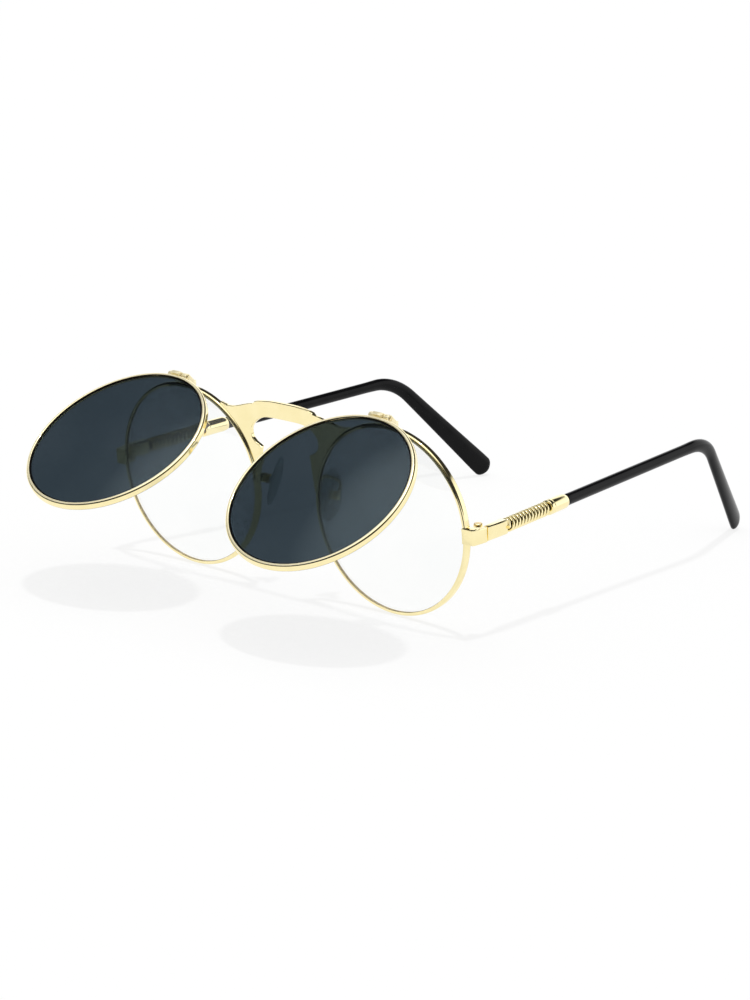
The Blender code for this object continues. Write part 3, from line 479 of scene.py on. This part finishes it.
def ring_profile(centre_radius, wall, depth, shoulder):
    """Section of a lens ring, as radius and y with the material of the strip up to the next point.

    It starts at the lens with the front's shoulder. A thin brown line runs along the back edge,
    and the last four points are the inner wall with the V groove for the lens.
    """
    inner, outer, half = centre_radius - wall / 2, centre_radius + wall / 2 - FACET_SAG, depth / 2
    across = inner + LIP_ROUNDING
    # A shoulder that starts with an inward slope lies deeper by half of that strip's fall.
    deep = max(0.0, -shoulder[0][0] * sin(radians(shoulder[0][1])) / 2)
    points = [(inner, deep + LIP_ROUNDING - half, POLISHED), (across, deep - half, POLISHED)]
    for length, first, last, mark in shoulder:
        for step in range(SHOULDER_STEPS):
            turn = radians(first + (last - first) * (step + 0.5) / SHOULDER_STEPS)
            across += length / SHOULDER_STEPS * cos(turn)
            deep += length / SHOULDER_STEPS * sin(turn)
            points.append((min(across, outer), deep - half, mark))
    points += [(outer - inward, half - distance, mark) for inward, distance, mark in BACK_EDGE]
    points += [(inner, half, POLISHED), (inner, GROOVE_DEPTH, POLISHED),
               (inner + GROOVE_DEPTH, 0.0, POLISHED), (inner, -GROOVE_DEPTH, POLISHED)]
    return points


def swept_ring(name, profile, centre, start, end, facets):
    whole = end - start > 2 * pi - TOLERANCE
    rings = []
    for index in range(facets if whole else facets + 1):
        turn = start + (end - start) * index / facets
        rings.append([(centre[0] + r * cos(turn), centre[1] + y, centre[2] + r * sin(turn))
                      for r, y, mark in profile])
    ring = loft(name, rings, looped=whole, marks=[mark for r, y, mark in profile])
    smooth(ring, angle=28)
    return ring


def lens(name, ring_inner, centre, edge_thickness, centre_thickness, border=0.0, drop=0.0):
    """A domed lens with its bevelled edge seated in the ring's groove. Mark 1 is its edge, which gets a
    colour painted for the ring's shade and reflection round the lens.

    A border is a band round the front face in the edge's painted colour, which drops towards the ring.
    """
    radius = ring_inner - LENS_PLAY
    half = edge_thickness / 2
    front_sag = LENS_CURVE - sqrt(LENS_CURVE ** 2 - radius ** 2)
    back_sag = front_sag + edge_thickness - centre_thickness
    shares = [step / LENS_ROWS for step in range(1, LENS_ROWS + 1)]
    clear = radius - border
    profile = [(clear * share, -half - front_sag * (1 - share ** 2), 0) for share in shares]
    profile[-1] = (clear, -half, 1)
    if border:
        profile.append((radius, drop - half, 1))
    profile += [(radius, -LENS_SEATING, 1), (radius + LENS_SEATING, 0.0, 1), (radius, LENS_SEATING, 1)]
    profile += [(radius * share, half - back_sag * (1 - share ** 2), 0) for share in reversed(shares)]
    rings = [[(centre[0] + a, centre[1] + depth, centre[2] + b) for a, b in circle(reach, LENS_FACETS)]
             for reach, depth, mark in profile]
    item = loft(name, rings)
    for face in item.data.polygons:
        row = min(face.vertices) // LENS_FACETS
        if row + 1 < len(profile) and len(face.vertices) == 4:
            face.material_index = profile[row][2]
    smooth(item, angle=30)
    return item


def beside_rim(points):
    """Points beside the rim, from degrees round it and distance from the seam."""
    edge = RIM_OUTER + CLEARANCE
    return [(HALF_SPACING + (edge + gap) * cos(radians(turn)), (edge + gap) * sin(radians(turn)))
            for turn, gap in points]


def curve_points(points):
    return [tuple(point) for point in curve_through(points, OUTLINE_STEPS)]


def build_bridge():
    """The flat plate over the nose, with the solder beads that join it to the rims."""
    last_turn = BRIDGE_LIMB[0][0]
    seam = [(BRIDGE_SEAM_START + (last_turn - BRIDGE_SEAM_START) * step / SEAM_STEPS, 0.0)
            for step in range(SEAM_STEPS + 1)]
    outline = curve_points([(x, RIM_OUTER + rise) for x, rise in BRIDGE_TOP])
    outline += curve_points(beside_rim(BRIDGE_SHOULDER))
    outline += beside_rim(seam)
    outline += curve_points(beside_rim(BRIDGE_LIMB))[1:]
    crown = [(x, RIM_OUTER + rise) for x, rise in ARCH_CROWN]
    outline += curve_points(beside_rim(ARCH_SIDE) + crown)
    outline += [(-x, z) for x, z in reversed(outline) if x > TOLERANCE]
    outline = dense(outline, OUTLINE_SPACING)
    face = -BRIDGE_THICKNESS / 2 + BRIDGE_SETBACK
    edge = [(EDGE_ROUNDING * (1 - sin(turn)), EDGE_ROUNDING * (1 - cos(turn)))
            for turn in (radians(EDGE_TURN * step) for step in range(90 // EDGE_TURN + 1))]
    edge += [(amount, BRIDGE_THICKNESS - depth) for amount, depth in reversed(edge)]
    rings = [[(x, face + depth, z) for x, z in inset(outline, amount)] for amount, depth in edge]
    plate = loft("bridge", rings)
    smooth(plate, angle=50)
    dress(plate, FRONT, "front", ["bridge_plate"], "gold_metal", PRESSED_GOLD)
    section = [(RIM_OUTER + out, y, POLISHED) for out, y in SOLDER_BEAD]
    for name, side in SIDES:
        start, end = radians(BRIDGE_SEAM_START + SOLDER_SETBACK), radians(last_turn - SOLDER_SETBACK)
        if side < 0:
            start, end = pi - end, pi - start
        bead = swept_ring(name + "_solder_seam", section, (side * HALF_SPACING, 0.0, 0.0), start, end,
                          SOLDER_FACETS)
        dress(bead, FRONT, "front", [], "gold_metal", GOLD)


def build_front_side(name, side):
    """A rim, open at its lock, and its clear lens."""
    top, bottom = asin(END_TOP / RIM_INNER), asin(END_BOTTOM / RIM_INNER)
    start, end = (top, 2 * pi + bottom) if side > 0 else (pi - bottom, 3 * pi - top)
    centre = (side * HALF_SPACING, 0.0, 0.0)
    profile = ring_profile(RIM_RADIUS, RIM_WALL, RIM_DEPTH, RIM_SHOULDER)
    rim = swept_ring(name + "_rim_wire", profile, centre, start, end, RIM_FACETS)
    # The painted dark reflection line runs over the rim's upper half only.
    for face in rim.data.polygons:
        if face.material_index == PAINTED_DARK and face.center.z < END_TOP:
            face.material_index = POLISHED
    dress(rim, FRONT, "front", [name + "_rim"], "gold_metal", GOLD, BROWN_LINE, PAINTED_SHADE)
    glass = lens(name + "_clear_lens", RIM_INNER, centre, LENS_EDGE, LENS_CENTRE)
    glass.visible_shadow = False
    dress(glass, FRONT, "front", [name + "_lens"], "clear_lens", CLEAR, PAINTED_REFLECTION_LENS_EDGE)


def build_flip(name):
    """A flip-up ring and its tinted lens."""
    place = flip_frame(name)
    centre = (0.0, FLIP_RING_Y, -FLIP_RING_DROP)
    body = name + "_flip"
    profile = ring_profile(FLIP_RING_RADIUS, FLIP_RING_WALL, FLIP_RING_DEPTH, FLIP_SHOULDER)
    # The wall in front of the lens groove gets near-black painted shade, for the shade inside the ring's
    # edge.
    profile[-1] = (*profile[-1][:2], PAINTED_DARK)
    ring = swept_ring(name + "_flip_wire", profile, centre, 0.0, 2 * pi, FLIP_RING_FACETS)
    dress(ring, place, body, [name + "_flip_ring"], "gold_metal", GOLD, BROWN_LINE, PAINTED_SHADE, SATIN_GOLD)
    glass = lens(name + "_tinted_lens", FLIP_RING_RADIUS - FLIP_RING_WALL / 2, centre,
                 DARK_LENS_THICKNESS, DARK_LENS_THICKNESS, DARK_EDGE_WIDTH, DARK_EDGE_DROP)
    dress(glass, place, body, [name + "_flip_lens"], "tinted_lens", TINTED, PAINTED_SHADE_LENS_EDGE)


# Temples

def temple_route(side, distance):
    """Point and direction of a temple's centre line at a distance from its front end."""
    along = Vector((0.0, 1.0, 0.0))
    bend, turn = radians(BEND_ANGLE), radians(PADDLE_TURN)
    final = Vector((-side * sin(turn), cos(turn) * cos(bend), -cos(turn) * sin(bend)))
    angle = acos(along.dot(final))
    across = (final - along * along.dot(final)).normalized()
    start = Vector((side * BAR_CENTRE, 0.0, 0.0))
    if distance <= STRAIGHT_LENGTH:
        return start + along * distance, along
    radius = BEND_LENGTH / angle
    swept = min((distance - STRAIGHT_LENGTH) / radius, angle)
    point = start + along * (STRAIGHT_LENGTH + radius * sin(swept))
    point = point + across * (radius * (1 - cos(swept)))
    beyond = distance - STRAIGHT_LENGTH - BEND_LENGTH
    return point + final * max(beyond, 0.0), along * cos(swept) + across * sin(swept)


def temple_ring(side, distance, outline):
    """A section across a temple's centre line, from an outline given as outward and upward."""
    point, direction = temple_route(side, distance)
    outward = direction.cross(Vector((0.0, 0.0, 1.0))).normalized() * side
    upward = (outward.cross(direction) * side).normalized()
    return [point + outward * a + upward * b for a, b in outline]


def tip_outline(share):
    """Section of the tip at a share of its length."""
    flare = min(max(0.0, (share - FLARE_START) / FLARE_RUN), 1.0)
    grown = flare * (2 - flare) * FLARE_EASE + flare * flare * (1 - FLARE_EASE)
    half_height = (TIP_HEIGHT + (PADDLE_HEIGHT - TIP_HEIGHT) * grown) / 2
    return [(TIP_THICKNESS / 2 * a, half_height * b) for a, b in circle(1.0, TIP_FACETS)]


def build_tip(name, side, place):
    """The black tip, bent down behind the ear and flared to a paddle."""
    length = TIP_END - TIP_START
    front, blunt = TIP_START + TIP_FRONT_LENGTH, TIP_END - PADDLE_ROUNDING
    rings = []
    for shrink, depth in TIP_FRONT:
        outline = [(a * shrink, b * shrink) for a, b in tip_outline(0.0)]
        rings.append(temple_ring(side, TIP_START + depth, outline))
    for step in range(TIP_ROWS + 1):
        distance = front + (blunt - front) * step / TIP_ROWS
        rings.append(temple_ring(side, distance, tip_outline((distance - TIP_START) / length)))
    for step in range(1, PADDLE_ROUNDING_STEPS + 1):
        angle = radians(PADDLE_ROUNDING_TURN * step)
        distance = TIP_END - PADDLE_ROUNDING * (1 - sin(angle))
        shrink = cos(angle)
        full = tip_outline((distance - TIP_START) / length)
        rings.append(temple_ring(side, distance, [(a * sqrt(shrink), b * shrink) for a, b in full]))
    tip = loft(name + "_black_tip", rings)
    smooth(tip, angle=60)
    dress(tip, place, name + "_temple", [name + "_temple_tip"], "black_tip", BLACK)


def build_spring(name, side, place):
    """The coil spring round the rod, whose ends run straight into the bar and the ferrule."""
    radius = SPRING_OUTER_RADIUS - SPRING_WIRE / 2
    first, last = BAR_LENGTH, FERRULE_START
    wound = last - first - 2 * SPRING_LEAD
    lead_turn, whole_turn = radians(SPRING_LEAD_TURN), 2 * pi * SPRING_TURNS
    count = round(SPRING_TURNS * SPRING_POINTS)
    path = [(0.0, first), (0.0, first + SPRING_LEAD_STRAIGHT)]
    for step in range(count + 1):
        share = step / count
        path.append((lead_turn + whole_turn * share, first + SPRING_LEAD + wound * share))
    last_turn = 2 * lead_turn + whole_turn
    path += [(last_turn, last - SPRING_LEAD_STRAIGHT), (last_turn, last)]
    line = [Vector((side * (BAR_CENTRE + radius * cos(turn)), distance, radius * sin(turn)))
            for turn, distance in path]
    section = []
    for point in circle(1.0, SPRING_FACETS, pi / SPRING_FACETS):
        out, over = (copysign(abs(value) ** SPRING_SQUARENESS, value) * SPRING_WIRE / 2
                     for value in point)
        section.append((out, over * SPRING_FLATNESS))
    rings = []
    hub = Vector((side * BAR_CENTRE, 0.0, 0.0))
    for index, point in enumerate(line):
        along = (line[min(index + 1, len(line) - 1)] - line[max(index - 1, 0)]).normalized()
        out = Vector((point.x - hub.x, 0.0, point.z)).normalized()
        out = (out - along * out.dot(along)).normalized()
        over = along.cross(out)
        rings.append([point + out * a + over * b for a, b in section])
    spring = loft(name + "_coil_spring", rings)
    smooth(spring, angle=60)
    dress(spring, place, name + "_temple", [name + "_temple_spring"], "gold_metal", GOLD)


def build_ferrule(name, side, place):
    sections = [(FERRULE_START, ROD_RADIUS)]
    sections += [(FERRULE_START + distance, FERRULE_RADIUS - cut) for distance, cut in FERRULE_FRONT]
    sections += [(TIP_START - distance, radius) for distance, radius in FERRULE_BACK]
    sections.append((TIP_START, ROD_RADIUS))
    rings = [temple_ring(side, distance, circle(radius, FERRULE_FACETS))
             for distance, radius in sections]
    ferrule = loft(name + "_ferrule", rings, looped=True)
    smooth(ferrule, angle=40)
    dress(ferrule, place, name + "_temple", [name + "_temple_ferrule"], "gold_metal", GOLD)


def build_core(name, side, place):
    """A near-black sleeve on the rod: painted shade that shows between the spring's turns."""
    rings = [temple_ring(side, distance, circle(CORE_RADIUS, CORE_FACETS))
             for distance in (BAR_LENGTH + CORE_SETBACK, FERRULE_START - CORE_SETBACK)]
    core = loft(name + "_spring_core", rings)
    smooth(core, angle=60)
    dress(core, place, name + "_temple", [], "gold_metal", PAINTED_SHADE)


def build_hinge_screw(name):
    """The temple hinge's screw, with a slot between the two halves of its head."""
    seat = END_HEIGHT / 2 + PIN_CLEARANCE
    head, slot = HINGE_SCREW_HEAD_RADIUS, HINGE_SCREW_SLOT / 2
    floor = seat + HINGE_SCREW_HEAD * HINGE_SCREW_FLOOR
    shank = [(HINGE_SCREW_RADIUS, -END_HEIGHT / 2), (HINGE_SCREW_RADIUS, seat), (head, seat),
             (head, floor)]
    bm = bmesh.new()
    skin(bm, [[(a, b, level) for a, b in circle(radius, HINGE_SCREW_FACETS)]
              for radius, level in shank])
    rim, rim_height = HINGE_SCREW_RIM
    levels = [(rim, floor), (rim, seat + HINGE_SCREW_HEAD * rim_height),
              (HINGE_SCREW_TOP, seat + HINGE_SCREW_HEAD)]
    first = asin(slot / (head * HINGE_SCREW_SLOT_END))
    for half_turn in (0.0, pi):
        arc = [half_turn + first + (pi - 2 * first) * step / HINGE_SCREW_ARC
               for step in range(HINGE_SCREW_ARC + 1)]
        skin(bm, [[(head * share * cos(turn), head * share * sin(turn), level) for turn in arc]
                  for share, level in levels])
    screw = new_object(name + "_slotted_hinge_screw", bm)
    smooth(screw, angle=30)
    slot_turn = Matrix.Rotation(radians(HINGE_SLOT_TURN[name]), 4, "Z")
    place = Matrix.Translation(Vector(JOINTS[name + "_temple_hinge"]["pos_m"])) @ tilting @ slot_turn
    dress(screw, place, "front", [name + "_hinge_screw"], "screw_metal", SCREW)


build_bridge()
for name, side in SIDES:
    build_front_side(name, side)
    build_hinge_screw(name)
    build_flip(name)
    place = temple_frame(name, side)
    build_tip(name, side, place)
    build_spring(name, side, place)
    build_ferrule(name, side, place)
    build_core(name, side, place)

# CAD nodes that keep their own shape: finish and edge rounding, or 0 for a smoothed round form
KEPT = {
    "end_piece": (GOLD, 0.00012), "rim_lock": (GOLD, 0.00010), "lock_screw": (SCREW, 0.00008),
    "flip_base": (SATIN_GOLD, 0.00008), "flip_leaf": (SATIN_GOLD, 0.00008),
    "flip_pin": (SCREW, 0.00006), "pad_arm": (GOLD, 0.0), "pad_box": (GOLD, 0.00006),
    "pad_screw": (SCREW, 0.00006), "nose_pad": (SILICONE, 0.0), "temple_bar": (GOLD, 0.00015),
}
for name, side in SIDES:
    for part, (material, width) in KEPT.items():
        node = frame["nodes"][name + "_" + part]
        node.data.materials.clear()
        node.data.materials.append(material)
        node.data.shade_smooth()
        if width:
            bevelled(node, width)
        else:
            welded(node)
            detail = node.modifiers.new("Smooth", "SUBSURF")
            detail.levels = detail.render_levels = 2


# Floor, light and camera

def build_floor():
    """A white floor. It is bright to the eye and in gloss, and it keeps a faint shadow of the object."""
    bm = bmesh.new()
    corners = ((-1, -1), (1, -1), (1, 1), (-1, 1))
    bm.faces.new([bm.verts.new((x * FLOOR_REACH, y * FLOOR_REACH, FLOOR_HEIGHT)) for x, y in corners])
    floor = new_object("floor", bm)
    material, nodes, links = new_material("floor_white")
    shader = nodes["Principled BSDF"]
    shader.inputs["Base Color"].default_value = (FLOOR_WHITE, FLOOR_WHITE, FLOOR_WHITE, 1.0)
    shader.inputs["Roughness"].default_value = 0.8
    shader.inputs["Specular IOR Level"].default_value = 0.0
    glow = nodes.new("ShaderNodeEmission")
    glow.inputs["Strength"].default_value = 1.0
    soft = nodes.new("ShaderNodeMixShader")
    soft.inputs["Fac"].default_value = FLOOR_GLOW
    links.new(shader.outputs["BSDF"], soft.inputs[1])
    links.new(glow.outputs["Emission"], soft.inputs[2])
    path = nodes.new("ShaderNodeLightPath")
    pick = nodes.new("ShaderNodeMixShader")
    links.new(path.outputs["Is Diffuse Ray"], pick.inputs["Fac"])
    links.new(soft.outputs["Shader"], pick.inputs[1])
    links.new(shader.outputs["BSDF"], pick.inputs[2])
    links.new(pick.outputs["Shader"], nodes["Material Output"].inputs["Surface"])
    floor.data.materials.append(material)


def sky_part(nodes, links, height, less, levels):
    """Grey levels that go by a height less something."""
    lowered = math_node(nodes, links, "SUBTRACT", height, less)
    spread = nodes.new("ShaderNodeMapRange")
    lowest = levels[0][0]
    spread.inputs["From Min"].default_value = lowest
    links.new(lowered.outputs["Value"], spread.inputs["Value"])
    grey = nodes.new("ShaderNodeValToRGB")
    ramp = grey.color_ramp
    while len(ramp.elements) < len(levels):
        ramp.elements.new(0.5)
    for element, (level_height, level) in zip(ramp.elements, levels):
        element.position = (level_height - lowest) / (1.0 - lowest)
        element.color = (level, level, level, 1.0)
    links.new(spread.outputs["Result"], grey.inputs["Fac"])
    return grey


def build_world():
    """White all round for the eye, and a pale grey for diffuse light.

    Gloss sees a white backdrop behind the object, a dark room in front of it and a bright ceiling, so
    that polished metal gets the dark lines along its round edges that make it read as metal.
    """
    world = bpy.data.worlds.new("studio")
    bpy.context.scene.world = world
    world.use_nodes = True
    nodes, links = world.node_tree.nodes, world.node_tree.links
    background = nodes["Background"]
    place = nodes.new("ShaderNodeTexCoord")
    split = nodes.new("ShaderNodeSeparateXYZ")
    links.new(place.outputs["Generated"], split.inputs["Vector"])
    backdrop = nodes.new("ShaderNodeMapRange")
    backdrop.interpolation_type = "SMOOTHSTEP"
    backdrop.inputs["From Min"].default_value = BACKDROP_RISE[0]
    backdrop.inputs["From Max"].default_value = BACKDROP_RISE[1]
    backdrop.inputs["To Min"].default_value = 0.0
    backdrop.inputs["To Max"].default_value = BACKDROP_HEIGHT
    links.new(split.outputs["Y"], backdrop.inputs["Value"])
    slope = nodes.new("ShaderNodeMath")
    slope.operation = "MULTIPLY"
    slope.inputs[1].default_value = CEILING_SLOPE
    links.new(split.outputs["Y"], slope.inputs[0])
    low = sky_part(nodes, links, split.outputs["Z"], backdrop.outputs["Result"], BACKDROP)
    high = sky_part(nodes, links, split.outputs["Z"], slope.outputs["Value"], CEILING)
    sky = math_node(nodes, links, "MAXIMUM", low.outputs["Color"], high.outputs["Color"])
    path = nodes.new("ShaderNodeLightPath")
    bounced = math_node(nodes, links, "SUBTRACT", path.outputs["Is Glossy Ray"],
                        path.outputs["Is Transmission Ray"])
    bounced.use_clamp = True
    plain = nodes.new("ShaderNodeMix")
    plain.data_type = "RGBA"
    links.new(path.outputs["Is Diffuse Ray"], plain.inputs["Factor"])
    plain.inputs["A"].default_value = (1.0, 1.0, 1.0, 1.0)
    plain.inputs["B"].default_value = (DIFFUSE_LEVEL, DIFFUSE_LEVEL, DIFFUSE_LEVEL, 1.0)
    mix = nodes.new("ShaderNodeMix")
    mix.data_type = "RGBA"
    links.new(bounced.outputs["Value"], mix.inputs["Factor"])
    links.new(plain.outputs["Result"], mix.inputs["A"])
    links.new(sky.outputs["Value"], mix.inputs["B"])
    links.new(mix.outputs["Result"], background.inputs["Color"])
    background.inputs["Strength"].default_value = 1.0


def build_lamp():
    data = bpy.data.lights.new("overhead", "SUN")
    data.angle = radians(LAMP_ANGLE)
    data.energy = LAMP_STRENGTH
    lamp = bpy.data.objects.new("overhead", data)
    lamp.rotation_euler = Vector(LAMP_FROM).to_track_quat("Z", "Y").to_euler()
    bpy.context.collection.objects.link(lamp)


def build_camera():
    azimuth, elevation, roll = (radians(a) for a in (CAMERA_AZIMUTH, CAMERA_ELEVATION, CAMERA_ROLL))
    back = Vector((sin(azimuth) * cos(elevation), -cos(azimuth) * cos(elevation), sin(elevation)))
    right = (-back).cross(Vector((0.0, 0.0, 1.0))).normalized()
    up = right.cross(-back)
    rolled_right = right * cos(roll) + up * sin(roll)
    rolled_up = up * cos(roll) - right * sin(roll)
    data = bpy.data.cameras.new("camera")
    data.lens = CAMERA_LENS
    data.sensor_width = 36.0
    data.clip_start = 0.01
    camera = bpy.data.objects.new("camera", data)
    turn = Matrix((rolled_right, rolled_up, back)).transposed().to_4x4()
    camera.matrix_world = Matrix.Translation(GROUND + Vector(CAMERA_AIM) + back * CAMERA_DISTANCE) @ turn
    bpy.context.collection.objects.link(camera)
    bpy.context.scene.camera = camera


build_floor()
build_world()
build_lamp()
build_camera()
bpy.context.scene.view_settings.view_transform = "Standard"
